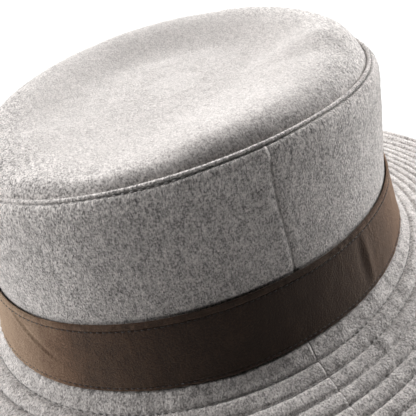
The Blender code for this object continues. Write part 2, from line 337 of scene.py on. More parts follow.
def fuzz(name, points, look, count, seed, length=1.3 * MM, lift=0.55):
    """Short loose fibres on a grid of points: thin spikes that lie along the nap and stand up a little."""
    across, along = points.shape[:2]
    first, second = chance(count, seed) * (across - 1.001), chance(count, seed + 1) * (along - 2.001) + 0.5
    row, column = first.astype(int), second.astype(int)
    a, b = (first - row)[:, None], (second - column)[:, None]
    near = points[row, column] * (1 - b) + points[row, column + 1] * b
    far = points[row + 1, column] * (1 - b) + points[row + 1, column + 1] * b
    root = near * (1 - a) + far * a
    normal = normals_of(points, False)[row, column]
    down = points[row, column + 1] - points[row, column]
    down /= np.maximum(np.linalg.norm(down, axis=1, keepdims=True), 1e-9)
    side = np.cross(normal, down)
    heading = (chance(count, seed + 2)[:, None] - 0.5) * 2.6
    rising = lift * chance(count, seed + 3)[:, None] ** 1.5
    way = (down * np.cos(heading) + side * np.sin(heading)) + normal * (0.06 + rising)
    way /= np.linalg.norm(way, axis=1, keepdims=True)
    reach = length * (0.4 + 0.9 * chance(count, seed + 4)[:, None])
    width = 0.045 * MM
    flank = np.cross(way, normal)
    flank /= np.linalg.norm(flank, axis=1, keepdims=True)
    base = root - normal * 0.12 * MM
    spine = np.cross(flank, way) * width * 1.6
    corners = [base + flank * width, base - flank * width, base + spine, base + way * reach]
    vertices = np.stack(corners, 1).reshape(-1, 3)
    faces = np.array([(0, 1, 2), (0, 3, 1), (1, 3, 2), (2, 3, 0)])[None] + 4 * np.arange(count)[:, None, None]
    return add_piece(name, mesh_from(name, vertices, faces.reshape(-1, 3)), look, "hat")


# ---- Materials ---------------------------------------------------------------------------------------------


class Look:
    """A node material under construction: a Principled shader, and short calls for the nodes that feed it."""

    def __init__(self, name):
        self.material = bpy.data.materials.new(name)
        self.material.use_nodes = True
        self.tree = self.material.node_tree
        self.shader = self.tree.nodes["Principled BSDF"]

    def node(self, kind, **settings):
        made = self.tree.nodes.new(kind)
        for key, value in settings.items():
            setattr(made, key, value)
        return made

    def link(self, output, socket):
        self.tree.links.new(output, socket)

    def set(self, **values):
        for name, value in values.items():
            self.shader.inputs[name.replace("_", " ")].default_value = value

    def place(self, source="Object", scale=(1.0, 1.0, 1.0), turn=(0.0, 0.0, 0.0)):
        """Coordinates on the surface, in metres times scale."""
        if source == "UV":
            start = self.node("ShaderNodeUVMap", uv_map="Cloth").outputs["UV"]
        else:
            start = self.node("ShaderNodeTexCoord").outputs[source]
        mapping = self.node("ShaderNodeMapping")
        self.link(start, mapping.inputs["Vector"])
        mapping.inputs["Scale"].default_value = scale
        mapping.inputs["Rotation"].default_value = turn
        return mapping.outputs["Vector"]

    def noise(self, vector, scale=1.0, detail=3.0, rough=0.5, twist=0.0):
        made = self.node("ShaderNodeTexNoise")
        self.link(vector, made.inputs["Vector"])
        made.inputs["Scale"].default_value = scale
        made.inputs["Detail"].default_value = detail
        made.inputs["Roughness"].default_value = rough
        made.inputs["Distortion"].default_value = twist
        return made.outputs["Fac"]

    def ramp(self, value, *stops):
        """Colours by value: each stop is a position and a colour or a grey."""
        made = self.node("ShaderNodeValToRGB")
        self.link(value, made.inputs["Fac"])
        elements = made.color_ramp.elements
        while len(elements) < len(stops):
            elements.new(0.5)
        for element, (position, colour) in zip(elements, stops):
            element.position = position
            element.color = (*colour, 1.0) if hasattr(colour, "__len__") else (colour, colour, colour, 1.0)
        return made.outputs["Color"]

    def math(self, operation, a, b):
        made = self.node("ShaderNodeMath", operation=operation)
        for socket, value in zip(made.inputs, (a, b)):
            if isinstance(value, (int, float)):
                socket.default_value = value
            else:
                self.link(value, socket)
        return made.outputs["Value"]

    def mix(self, share, a, b):
        """Colour a where share is 0, and b where it is 1. The colours' sockets are numbers 6 and 7."""
        made = self.node("ShaderNodeMix", data_type="RGBA")
        for socket, output in zip((made.inputs[0], made.inputs[6], made.inputs[7]), (share, a, b)):
            self.link(output, socket)
        return made.outputs[2]

    def cloth_map(self):
        """Metres down the Cloth map, and metres round it."""
        parts = self.node("ShaderNodeSeparateXYZ")
        self.link(self.place("UV"), parts.inputs["Vector"])
        return parts.outputs["Y"], parts.outputs["X"]

    def around_middle(self, value, amount):
        """A value's distance from one half, times an amount."""
        return self.math("MULTIPLY", self.math("SUBTRACT", value, 0.5), amount)

    def sum(self, *values):
        total = values[0]
        for value in values[1:]:
            total = self.math("ADD", total, value)
        return total

    def bump(self, *layers):
        """Bump from (height, depth in metres) layers, the last one on top."""
        normal = None
        for height, depth in layers:
            made = self.node("ShaderNodeBump")
            made.inputs["Distance"].default_value = depth
            made.inputs["Strength"].default_value = 1.0
            self.link(height, made.inputs["Height"])
            if normal is not None:
                self.link(normal, made.inputs["Normal"])
            normal = made.outputs["Normal"]
        self.link(normal, self.shader.inputs["Normal"])


WOOL_TINT = (1.0, 0.935, 0.900)
RAMP_REACH = 100 * MM  # the length down a panel that a ramp spans
CALM_END = (60 * MM, 82 * MM)  # from the middle of the tip
# Painted light on the side panels' shoulder, paler from their upper edge down to here.
PAINTED_LIGHT_END = (3 * MM, 16 * MM)  # from a side panel's upper edge


def heather_colours(look, heather, contrast, tone):
    """The wool's greys from its dark fibres to its pale ones."""
    shades = ((0.34, -1.0), (0.45, -0.45), (0.53, 0.20), (0.66, 0.95))
    stops = []
    for at, share in shades:
        stops.append((at, tuple(min(1.0, tone * (1 + share * contrast) * c) for c in WOOL_TINT)))
    return look.ramp(heather, *stops)


def wool_look(name, fibre, source="UV", tone=0.44, contrast=0.75, middle_contrast=None, painted_light=1.0):
    """Napped heather wool: pale and dark fibres mixed, fibre giving their size in metres (across, along).

    With a middle_contrast, the cloth's fibres are drawn with less contrast in the middle of the tip than at
    its rim.
    The last argument makes the nap paler along the panel's upper edge: painted light where light falls on the
    crown's shoulder.
    """
    look = Look(name)
    stretch = (1 / fibre[0], 1 / fibre[1], 1 / fibre[0])
    streaks = look.noise(look.place(source, stretch, (0, 0, 0.12)), 1.0, 4.0, 0.70, 0.25)
    crossing = look.noise(look.place(source, stretch, (0, 0, 0.85)), 1.3, 3.0, 0.6, 0.2)
    flecks = look.noise(look.place("Object", (1 / 0.0009,) * 3), 1.0, 2.0, 0.7, 0.2)
    wide = tuple(0.30 * s for s in stretch)
    mottle = look.noise(look.place(source, wide, (0, 0, 0.2)), 1.0, 3.0, 0.6, 0.5)
    clumps = look.noise(look.place("Object", (1 / 0.007,) * 3), 1.0, 3.0, 0.55)
    parts = ((streaks, 0.42), (crossing, 0.20), (flecks, 0.38))
    fibres = [look.math("MULTIPLY", part, share) for part, share in parts]
    heather = look.sum(*fibres, look.around_middle(mottle, 0.22), look.around_middle(clumps, 0.08))
    colour = heather_colours(look, heather, contrast, tone)
    down = look.math("DIVIDE", look.cloth_map()[0], RAMP_REACH)
    if middle_contrast:
        calm = heather_colours(look, heather, middle_contrast, tone)
        beyond = look.ramp(down, *zip(np.array(CALM_END) / RAMP_REACH, (0.0, 1.0)))
        colour = look.mix(beyond, calm, colour)
    # Painted light: a paler copy of the heather along the panel's upper edge, where light falls on the crown's
    # shoulder.
    elif painted_light > 1:
        pale = heather_colours(look, heather, contrast, tone * painted_light)
        beyond = look.ramp(down, *zip(np.array(PAINTED_LIGHT_END) / RAMP_REACH, (0.0, 1.0)))
        colour = look.mix(beyond, pale, colour)
    look.link(colour, look.shader.inputs["Base Color"])
    look.set(Roughness=0.93, Sheen_Weight=0.30, Sheen_Roughness=0.5)
    look.set(Sheen_Tint=(0.95, 0.94, 0.92, 1.0), Specular_IOR_Level=0.18)
    relief = middle_contrast or contrast
    look.bump((clumps, 0.0005 * relief), (streaks, 0.0006 * relief), (flecks, 0.0005 * relief))
    return look.material


def thread_look(name, colour):
    look = Look(name)
    twist = look.noise(look.place("Object", (1 / 0.0004,) * 3), 1.0, 2.0, 0.6)
    pale = tuple(min(1.0, c * 1.5) for c in colour)
    dark = tuple(c * 0.6 for c in colour)
    look.link(look.ramp(twist, (0.35, dark), (0.65, pale)), look.shader.inputs["Base Color"])
    look.set(Roughness=0.7, Sheen_Weight=0.3)
    look.bump((twist, 0.0001))
    return look.material


# Painted sheen on the suede: how far its colour goes from dark brown to tan, by degrees round the hat, where
# light grazes its nap.
PAINTED_SHEEN = [(0, 0.30), (30, 0.40), (62, 0.60), (95, 1.0), (113, 0.74), (133, 0.15), (158, 0.03), (180, 0.0)]
PAINTED_SHEEN += [(206, 0.0), (209, 0.07), (220, 0.12), (233, 0.36), (250, 0.46), (275, 0.44), (310, 0.25)]
PAINTED_SHEEN += [(355, 0.30)]
# From the suede's dark brown up to the tan of its painted sheen.
SUEDE_TONES = ((0.0, (0.032, 0.0225, 0.0185)), (0.35, (0.118, 0.068, 0.043)), (1.0, (0.300, 0.215, 0.150)))
BAND_UNROLLED = 0.1  # metres of the band's Cloth map for each radian round the hat


def suede_look(name):
    """Brown suede: dark, turning tan with a painted sheen at the angles round the hat where light grazes the
    nap, and paler along both hems.
    """
    look = Look(name)
    nap = look.noise(look.place("Object", (1 / 0.0008,) * 3), 1.0, 4.0, 0.75)
    clouds = look.noise(look.place("UV", (1 / 0.011, 1 / 0.022, 1.0)), 1.0, 4.0, 0.6, 0.8)
    brushed = look.noise(look.place("UV", (1 / 0.0013, 1 / 0.009, 1.0), (0, 0, 0.3)), 1.0, 3.0, 0.65, 0.4)
    down, around = look.cloth_map()
    round_hat = look.math("DIVIDE", around, BAND_UNROLLED * math.tau)
    # Painted sheen: how tan the suede is drawn at each angle round the hat.
    raised = look.ramp(round_hat, *[(degrees / 360, share) for degrees, share in PAINTED_SHEEN])
    upper, lower = BAND_HEM / BAND_LENGTH, BAND_LOWER_HEM / BAND_LENGTH
    hems = ((0.0, 1.0), (upper * 0.8, 0.9), (upper, 0.0), (1 - lower, 0.0), (1 - lower * 0.8, 0.9), (1.0, 1.0))
    # Paler along both hems.
    hem_paling = look.math("MULTIPLY", look.ramp(look.math("DIVIDE", down, BAND_LENGTH), *hems), 0.035)
    parts = ((clouds, 0.7), (nap, 2.0), (brushed, 0.30))
    grain = look.sum(*[look.around_middle(part, amount) for part, amount in parts])
    scaled = look.math("MULTIPLY", grain, look.math("ADD", raised, 0.26))
    share = look.sum(raised, scaled, hem_paling)
    look.link(look.ramp(share, *SUEDE_TONES), look.shader.inputs["Base Color"])
    look.set(Roughness=0.88, Sheen_Weight=0.38, Sheen_Roughness=0.40)
    look.set(Sheen_Tint=(0.62, 0.45, 0.33, 1.0), Specular_IOR_Level=0.15)
    look.bump((clouds, 0.0006), (brushed, 0.00012), (nap, 0.0005))
    return look.material


def woven_look(name, colour, pitch=0.0006, rough=0.8, sheen=0.2, contrast=0.5):
    """Plain weave: warp and weft of a given pitch in metres."""
    look = Look(name)
    spots = look.place("UV", (1 / pitch, 1 / pitch, 1.0))
    weave = []
    for turn in ("X", "Y"):
        wave = look.node("ShaderNodeTexWave", wave_type="BANDS", bands_direction=turn, wave_profile="SIN")
        look.link(spots, wave.inputs["Vector"])
        wave.inputs["Scale"].default_value = 0.31
        wave.inputs["Distortion"].default_value = 0.6
        weave.append(wave.outputs["Fac"])
    height = look.math("MULTIPLY", weave[0], weave[1])
    slubs = look.noise(look.place("UV", (1 / 0.001, 1 / 0.006, 1.0)), 1.0, 3.0, 0.6)
    tone = look.math("ADD", look.math("MULTIPLY", height, 0.5), look.math("MULTIPLY", slubs, 0.5))
    dark = tuple(c * (1 - contrast) for c in colour)
    pale = tuple(min(1.0, c * (1 + contrast)) for c in colour)
    look.link(look.ramp(tone, (0.2, dark), (0.7, pale)), look.shader.inputs["Base Color"])
    look.set(Roughness=rough, Sheen_Weight=sheen)
    look.bump((height, 0.00015))
    return look.material


# ---- Crown -------------------------------------------------------------------------------------------------

LEFT_SEAM = math.radians(184.2)
RIGHT_SEAM = math.radians(355.8)
SEAM_BOW = math.radians(2.4)
STITCH_GROOVE_RADIUS = 81.95 * MM
RIDGE_STITCHES = 177
SHOULDER_END = 15.5 * MM  # below the ridge


def through(points, count):
    """Evenly spaced points on a smooth curve through the given (radius, height) points."""
    points = np.array(points, float)
    run = np.concatenate([[0.0], np.cumsum(np.linalg.norm(np.diff(points, axis=0), axis=1))])
    slope = np.gradient(points, run, axis=0)
    fine = np.linspace(0, run[-1], 40 * len(points))
    index = np.clip(np.searchsorted(run, fine, side="right") - 1, 0, len(run) - 2)
    width = (run[index + 1] - run[index])[:, None]
    t = (fine[:, None] - run[index][:, None]) / width
    curve = points[index] * (2 * t**3 - 3 * t**2 + 1) + points[index + 1] * (3 * t**2 - 2 * t**3)
    curve += width * (slope[index] * (t**3 - 2 * t**2 + t) + slope[index + 1] * (t**3 - t**2))
    length = np.concatenate([[0.0], np.cumsum(np.linalg.norm(np.diff(curve, axis=0), axis=1))])
    even = np.linspace(0, length[-1], count)
    return np.interp(even, length, curve[:, 0]), np.interp(even, length, curve[:, 1])


def seam_angles(height):
    """Where the two side seams run at a height: they bow forward a little above the band."""
    bow = SEAM_BOW * hump(height, 36 * MM, 26 * MM)
    return LEFT_SEAM + bow, RIGHT_SEAM - bow


def panel_grid(radius, height, half, count):
    """Angles of a front or back panel's grid, and the distance of each point from its nearer seam."""
    left, right = seam_angles(height)
    start, end = (right - math.tau, left) if half == "back" else (left, right)
    share = np.linspace(0, 1, count)[:, None]
    share = share + 0.035 * np.sin(math.tau * share) / math.tau
    angle = start + (end - start) * share
    to_seam = np.minimum(angle - start, end - angle) * radius
    return angle, to_seam


def round_the_tip(angle, values):
    """A smooth value round the tip from (degrees, value) pairs."""
    degrees, sizes = np.array(sorted(values), float).T
    degrees = np.concatenate([degrees[-2:] - 360, degrees, degrees[:2] + 360])
    sizes = np.concatenate([sizes[-2:], sizes, sizes[:2]])
    turn = np.mod(np.degrees(angle), 360)
    index = np.searchsorted(degrees, turn, side="right") - 1
    share = (turn - degrees[index]) / (degrees[index + 1] - degrees[index])
    share = share * share * (3 - 2 * share)
    return sizes[index] * (1 - share) + sizes[index + 1] * share


ROLL_HEIGHTS = [(0, 9.2), (20, 8.0), (50, 8.4), (90, 6.0), (118, 3.2), (140, 2.6), (156, 3.8), (172, 5.8)]
ROLL_HEIGHTS += [(200, 6.6), (230, 8.0), (253, 12.0), (280, 11.6), (308, 10.8), (335, 9.2)]
ROLL_WIDTHS = [(20, 12), (60, 12), (100, 10), (125, 7), (145, 7), (172, 13), (200, 16), (235, 20), (270, 15)]
ROLL_WIDTHS += [(320, 12)]
DISH_HEIGHT = 2.6 * MM


def tip_height(radius, angle):
    """The soft top above the ridge line: a stuffed roll just inside the ridge, round a shallow dish."""
    inward = np.maximum(RIDGE_RADIUS - radius, 0.0)
    crest = round_the_tip(angle, ROLL_HEIGHTS) * MM
    width = round_the_tip(angle, ROLL_WIDTHS) * MM
    rise = 1 - (1 - np.clip(inward / width, 0, 1)) ** 2.5
    fall = smooth_step(inward, width, width + 34 * MM)
    return (crest + (DISH_HEIGHT - crest) * fall) * rise


def make_tip(wool, edge_wool, sewing):
    profile = [(0, 0), (40, 0), (60, 0), (72, -0.1), (77.5, -0.5), (79.0, -1.0), (79.8, -1.6), (80.6, -2.4)]
    radius, height = through([(r * MM, CROWN_HEIGHT + h * MM) for r, h in profile], 150)
    angle = full_turn(420)
    points = place(radius, np.minimum(height, CROWN_HEIGHT), angle)
    points[..., 2] += tip_height(radius + 1.1 * MM, angle)
    normal = normals_of(points, True)
    inside = smooth_step(RIDGE_RADIUS - radius, 0.5 * MM, 8 * MM)
    rumple = 0.6 * MM * unevenness(points, 34 * MM, 3) + 0.07 * MM * unevenness(points, 9 * MM, 4)
    edge = 0.10 * MM * unevenness(points, 4 * MM, 5) * (1 - inside)
    points = points + normal * (rumple * inside + edge)[..., None]
    points[:, 0] = points[:, 0].mean(axis=0)
    cloth_piece("tip_wool", points, WOOL, wool, ["crown_tip"], closed=True)
    fuzz("tip_fibres", points[:, 20:], wool, 16000, 120)
    make_ridge(edge_wool)
    turn = ring_angles(720)
    groove_height = CROWN_HEIGHT - 1.95 * MM
    path = place(STITCH_GROOVE_RADIUS, groove_height, turn)
    out = place(STITCH_GROOVE_RADIUS + MM, groove_height + MM, turn) - path
    stitches("tip_stitches", path, out, 3.0 * MM, 0.5 * MM, sewing, ["tip_topstitching"])


def make_ridge(wool):
    """The seam of top and side: its turned edge stands up as a cord, drawn in a little by every stitch."""
    turn = ring_angles(16)
    angle = full_turn(1700)
    ragged = unevenness(np.stack([angle * 60] * 3, -1), 1.0, 6)
    drawn_in = 1 + 0.06 * np.cos(2 * RIDGE_STITCHES * angle) + 0.05 * ragged
    section = (0.80 + 0.05 * np.sin(3 * turn)) * MM * drawn_in
    radius = RIDGE_RADIUS + 0.25 * MM + section * np.cos(turn)
    drop = -1.25 * MM + section * np.sin(turn) * 1.15
    points = place(radius, CROWN_HEIGHT + 0 * angle, angle)
    points[..., 2] += drop
    tube_piece("tip_ridge", points, wool, "hat", (angle * RIDGE_RADIUS, turn * MM))


def crown_side_grid():
    """Radius and height down the crown's side, from under the ridge, over the shoulder, to the brim."""
    shoulder = [(80.4, -2.2), (81.2, -1.8), (82.0, -1.65), (82.8, -1.9), (83.5, -2.5), (84.15, -3.5)]
    shoulder += [(84.7, -4.9), (85.15, -6.8), (85.45, -9.2), (85.6, -12.2), (85.6, -SHOULDER_END / MM)]
    radius, height = through([(r * MM, CROWN_HEIGHT + h * MM) for r, h in shoulder], 44)
    shoulder_foot = CROWN_HEIGHT - SHOULDER_END
    down = np.linspace(shoulder_foot, 2 * GAP, 76)[1:]
    bulge = (radius[-1] - crown_wall(height[-1])) * smooth_step(down, CROWN_HEIGHT - 45 * MM, shoulder_foot)
    return np.concatenate([radius, crown_wall(down) + bulge]), np.concatenate([height, down])


def make_crown_side(half, wool):
    radius, height = crown_side_grid()
    angle, to_seam = panel_grid(radius, height, half, 250)
    points = place(radius, height, angle)
    normal = normals_of(points, False)
    below_ridge = CROWN_HEIGHT - height
    groove = -0.35 * MM * hump(radius, STITCH_GROOVE_RADIUS, 0.4 * MM) * (below_ridge < 5 * MM)
    roll = 0.2 * MM * hump(below_ridge, 5 * MM, 2.0 * MM)
    pinch = -0.55 * MM * hump(to_seam, 0, 0.5 * MM) + 0.1 * MM * hump(to_seam, 3.0 * MM, 1.6 * MM)
    pinch = pinch * smooth_step(below_ridge, 4 * MM, 10 * MM) * (1 + 0.5 * unevenness(points, 6 * MM, 14))
    wander = 0.55 * MM * unevenness(points, 30 * MM, 11) + 0.14 * MM * unevenness(points, 8 * MM, 12)
    pucker = 0.16 * MM * unevenness(points * [1, 1, 0.35], 3.5 * MM, 13) * np.exp(-to_seam / (5 * MM))
    high = smooth_step(height, 30 * MM, 50 * MM)
    points = points + normal * (groove + roll + pinch + pucker + wander * high)[..., None]
    name = "side_wool_" + half
    cloth_piece(name, points, WOOL, wool, ["crown_side_" + half])
    fuzz("side_fibres_" + half, points[:, :110], wool, 15000, 100 if half == "front" else 110)


# ---- Brim --------------------------------------------------------------------------------------------------

BRIM_MIDDLE_RADIUS = 140 * MM
BRIM_FOOT_RISE = 2.7 * MM


def channels(radius, angle, points, seed):
    """The puffed channels between the rows of stitching, as heights above the plain surface."""
    row = (radius - ROW_FIRST_RADIUS) / ROW_PITCH
    across = np.abs(row - np.round(row)) * 2
    across = np.where(row > ROW_COUNT - 1, np.minimum((row - (ROW_COUNT - 1)) * 2.4, 1.0), across)
    fullness = 1 + 0.32 * unevenness(points, 10 * MM, seed) + 0.26 * unevenness(points, 4.5 * MM, seed + 1)
    puff = 1.25 * MM * (1 - (1 - across) ** 3.0) * fullness
    groove = -0.9 * MM * hump(across, 0, 0.13)
    folds = 0.3 * MM * unevenness(polar(radius, angle, 1.6 * MM, 14 * MM), 1.0, seed + 2) * (1 - across)
    return puff + groove + folds - 0.65 * MM


def polar(radius, angle, around, along):
    """Positions for noise that is stretched along the radius."""
    radius, angle = np.broadcast_arrays(radius, angle)
    return np.stack([angle * BRIM_MIDDLE_RADIUS / around, radius / along, 0 * radius], -1)


def sloping(radius):
    """1 over the sloping brim, easing to 0 at its level rim."""
    return 1 - smooth_step(radius, BRIM_EASE_RADIUS, BRIM_LEVEL_RADIUS)


def brim_wander(radius, angle):
    """How far the brim waves up and down, away from the crown and the level rim."""
    wave = 0.8 * MM * unevenness(place(radius, 0, angle), 45 * MM, 41)
    return wave * sloping(radius) * smooth_step(radius, CROWN_BASE_RADIUS, BAND_FOOT[0])


def brim_side(upper):
    """Radius and height along the brim's upper or under face, from the crown out to its folded edge."""
    flat_end = BRIM_RADIUS - BRIM_FOLD_RADIUS
    step = 0.7 * MM if upper else 1.15 * MM
    radius = np.linspace(BRIM_HOLE_RADIUS, flat_end, int((flat_end - BRIM_HOLE_RADIUS) / step))
    height = brim_height(radius)
    rim = brim_height(BRIM_RADIUS)
    turn = np.radians(np.linspace(90, 0, 8))[1:]
    fold_radius = flat_end + BRIM_FOLD_RADIUS * np.cos(turn)
    fold_height = rim - BRIM_FOLD_RADIUS + BRIM_FOLD_RADIUS * np.sin(turn)
    middle = rim - BRIM_THICKNESS / 2
    if not upper:
        slope = np.arctan(np.gradient(height, radius))
        radius = radius + BRIM_THICKNESS * np.sin(slope)
        height = height - BRIM_THICKNESS * np.cos(slope)
        fold_height = 2 * middle - fold_height
    radius = np.concatenate([radius, fold_radius, [BRIM_RADIUS]])
    height = np.concatenate([height, fold_height, [middle + (0.15 if upper else -0.15) * MM]])
    return radius, height


def make_brim(half, upper, wool):
    radius, height = brim_side(upper)
    angle, to_seam = panel_grid(radius, 0 * radius, half, 420 if upper else 260)
    points = place(radius, height, angle)
    if not upper:
        points, radius, angle, to_seam = points[:, ::-1], radius[::-1], angle[:, ::-1], to_seam[:, ::-1]
    normal = normals_of(points, False)
    away = 1 - smooth_step(radius, BRIM_RADIUS - 1.8 * MM, BRIM_RADIUS)
    shape = channels(radius, angle, points, 21 if upper else 31)
    pinch = -0.12 * MM * hump(to_seam, 0, 0.7 * MM)
    if upper:
        foot = 1 - smooth_step(radius, BAND_FOOT[0] - 0.6 * MM, BAND_FOOT[0] + 3.4 * MM)
        points[..., 2] += BRIM_FOOT_RISE * foot
    else:
        shape = np.minimum(shape, 0.2 * MM + 0.6 * MM * sloping(radius)) - 0.2 * MM
    wander = brim_wander(radius, angle)
    points = points + normal * ((shape + pinch) * away)[..., None]
    points[..., 2] += wander
    face = "top" if upper else "under"
    cloth_piece(f"brim_{face}_wool_{half}", points, BRIM_WOOL, wool, [f"brim_{face}_{half}"])
    if upper:
        seed = 130 if half == "front" else 140
        fuzz("brim_fibres_" + half, points, wool, 12000, seed, lift=0.4)


def make_row(index, sewing):
    """One row of stitching round the brim, as it shows on top and, fainter, underneath."""
    radius = ROW_FIRST_RADIUS + ROW_PITCH * index
    turn = ring_angles(1440)
    step = 0.5 * MM
    slope = math.atan2(brim_height(radius + step) - brim_height(radius - step), 2 * step)
    base = place(radius, brim_height(radius), turn)
    out = place(radius - math.sin(slope), brim_height(radius) + math.cos(slope), turn) - base
    out /= np.linalg.norm(out, axis=1, keepdims=True)
    base[:, 2] += brim_wander(radius, turn)
    node = f"brim_row_{index + 1:02d}"
    name = f"brim_stitches_{index + 1:02d}"
    path = base - out * 1.05 * MM
    stitches(name, path, out, 3.1 * MM, 0.55 * MM, sewing, [node])
    under = base - out * (BRIM_THICKNESS - 0.75 * MM)
    stitches(name + "_under", under, -out, 3.1 * MM, 0.5 * MM, sewing)


# ---- Band --------------------------------------------------------------------------------------------------

BAND_EDGE_RADIUS = 0.45 * MM  # half the folded suede's thickness


def band_surface(share, angle, stand_off):
    """Points of the band: share is the way down from its top, stand_off the distance outside its face."""
    run, drop = BAND_FOOT[0] - BAND_TOP[0], BAND_TOP[1] - BAND_FOOT[1]
    out = (drop / BAND_LENGTH, run / BAND_LENGTH)
    radius = BAND_TOP[0] + run * share + stand_off * out[0]
    return place(radius, BAND_TOP[1] - drop * share + stand_off * out[1], angle)


# Each slanting fold: its start and end, in degrees and share of the way down, then its height and width.
SLANTING_FOLDS = (((106, 0.06), (124, 0.66), 0.55 * MM, 0.75), ((108, 0.06), (126, 0.66), -0.45 * MM, 1.2))


def crease(degrees, share):
    """Soft folds in the band: two slanting ones at the back left, and an upright one at the front left."""
    total = 0.0
    for start, end, height, width in SLANTING_FOLDS:
        run = np.clip((share - start[1]) / (end[1] - start[1]), 0, 1)
        middle = start[0] + (end[0] - start[0]) * run
        fade = np.sin(math.pi * run) ** 0.6
        total = total + height * hump(degrees, middle, width) * fade
    upright = 0.55 * MM * (hump(degrees, 209.2, 1.4) - 0.8 * hump(degrees, 206.6, 1.6))
    return total + upright * np.sin(math.pi * np.clip((share - 0.08) / 0.84, 0, 1)) ** 0.7


def band_section():
    """Round the strap's section: share down the band, distance outside its face, and 1 on the outer side."""
    edge = BAND_EDGE_RADIUS
    hem = 1.5 * BAND_HEM / BAND_LENGTH
    middle = np.linspace(hem, 1 - hem, 30)
    outer = np.concatenate([np.linspace(0.012, hem, 14), middle[1:], np.linspace(1 - hem, 0.988, 14)[1:]])
    turn = np.radians(np.linspace(90, -90, 9))
    past_end = (edge - edge * np.cos(turn)) / BAND_LENGTH
    rounding = edge * np.sin(turn) - edge
    share = np.concatenate([outer, 1 - past_end, outer[::-1], past_end])
    off = np.concatenate([0 * outer, rounding, 0 * outer - 2 * edge, rounding[::-1]])
    is_outer = np.concatenate([0 * outer + 1, 0 * turn, 0 * outer, 0 * turn])
    return share, off, is_outer


def make_strap(suede):
    share, off, is_outer = band_section()
    from_edge = np.minimum(share, (1 - share) * BAND_HEM / BAND_LOWER_HEM) * BAND_LENGTH
    plump = 0.30 * MM * hump(from_edge, BAND_HEM * 0.5, BAND_HEM * 0.42)
    groove = -0.42 * MM * hump(from_edge, BAND_HEM, 0.38 * MM)
    off = off + is_outer * (plump + groove)
    angle = ring_angles(1100)[:, None]
    spot = np.stack(np.broadcast_arrays(np.cos(angle) * 0.1, np.sin(angle) * 0.1, share * BAND_LENGTH), -1)
    wave = 0.35 * MM * unevenness(spot * [1, 1, 0.5], 22 * MM, 51) + 0.10 * MM * unevenness(spot, 6 * MM, 52)
    wave = np.maximum(wave, -0.2 * MM) * (0.15 + 0.85 * share)
    pucker = 0.26 * MM * unevenness(spot * [1, 1, 0.5], 2.0 * MM, 53) * hump(from_edge, BAND_HEM / 2, 1.6 * MM)
    stand_off = off + wave + pucker * is_outer - 0.3 * MM * (1 - share)
    stand_off = stand_off + is_outer * crease(np.degrees(angle), share)
    ripple = 0.010 * unevenness(spot * [1, 1, 0], 30 * MM, 54)
    points = band_surface(share + ripple, angle, stand_off)
    uv_parts = (angle * BAND_UNROLLED, share * BAND_LENGTH)
    tube_piece("band_suede", points, suede, "band", uv_parts, ["band_strap"])


def make_band(suede, backing, sewing):
    make_strap(suede)
    for name, at in (("upper", BAND_HEM / BAND_LENGTH), ("lower", 1 - BAND_LOWER_HEM / BAND_LENGTH)):
        turn = ring_angles(1200)
        path = band_surface(at, turn, -0.12 * MM)
        out = band_surface(at, turn, MM) - path
        node = f"band_{name}_stitching"
        stitches(f"band_{name}_stitches", path, out, 2.6 * MM, 0.4 * MM, sewing, [node], "band")
    inside = band_surface(np.linspace(0.06, 0.94, 12), full_turn(240), -1.15 * MM)
    cloth_piece("band_twill", inside, 0.3 * MM, backing, ["band_backing"], "band", True)
    shares = np.linspace(-0.02, 1.02, 40)
    rise = 1.5 * MM + 0.25 * MM * np.sin(np.linspace(0, math.pi, 30))[:, None] + 0 * shares
    wrap = band_surface(shares, span(-11, 1, 30), rise)
    cloth_piece("band_wrap", wrap, 1.0 * MM, suede, ["band_joint_cover"], "band")


# ---- Inside ------------------------------------------------------------------------------------------------

INSIDE_CANVAS = 2.1 * MM
INSIDE_LINING = 2.9 * MM
INSIDE_SWEATBAND = 3.5 * MM
SWEATBAND = 0.9 * MM


def wall_inside(heights, depth):
    """Points of a layer that lies a depth inside the crown's wall, as radius and height."""
    heights = np.asarray(heights, float)
    step = 0.2 * MM
    lean = np.arctan2(crown_wall(heights + step) - crown_wall(heights - step), 2 * step)
    return crown_wall(heights) - depth * np.cos(lean), heights + depth * np.sin(lean)


def make_canvas(canvas):
    turn = full_turn(180)
    radius, height = wall_inside(np.linspace(83, 8.5, 40) * MM, INSIDE_CANVAS)
    points = place(radius, height, turn)
    cloth_piece("side_stiffening", points, 0.5 * MM, canvas, ["side_canvas"], closed=True)
    radius = np.linspace(1 * MM, 76 * MM, 50)
    points = place(radius, CROWN_HEIGHT - INSIDE_CANVAS, turn)
    points[..., 2] += tip_height(radius, turn) - 0.6 * MM
    cloth_piece("tip_stiffening", points, 0.4 * MM, canvas, ["tip_canvas"], closed=True)
    radius = np.linspace(BRIM_HOLE_RADIUS + 0.3 * MM, BRIM_RADIUS - 4 * MM, 80)
    points = place(radius, brim_height(radius) - INSIDE_CANVAS, turn)
    cloth_piece("brim_stiffening", points, 0.6 * MM, canvas, ["brim_canvas"], closed=True)


def make_lining(satin):
    turn = full_turn(360)
    radius = np.linspace(0.5 * MM, 75 * MM, 60)
    points = place(radius, CROWN_HEIGHT - INSIDE_LINING - 0.3 * MM, turn)
    points[..., 2] += tip_height(radius, turn) - 0.8 * MM - 0.4 * MM * (1 + unevenness(points, 18 * MM, 61))
    cloth_piece("tip_lining", points, SATIN, satin, ["lining_tip"], closed=True)
    for half in ("front", "back"):
        radius, height = wall_inside(np.linspace(82, 8.5, 60) * MM, INSIDE_LINING)
        angle, to_seam = panel_grid(radius, 0 * radius, half, 240)
        points = place(radius, height, angle)
        folds = 0.5 * MM * (1 + unevenness(points * [1, 1, 0.15], 9 * MM, 62))
        inward = -normals_of(points, False)
        points = points + inward * (folds + 0.4 * MM * hump(to_seam, 0, 1.2 * MM))[..., None]
        cloth_piece(f"lining_{half}", points, SATIN, satin, ["lining_side_" + half])


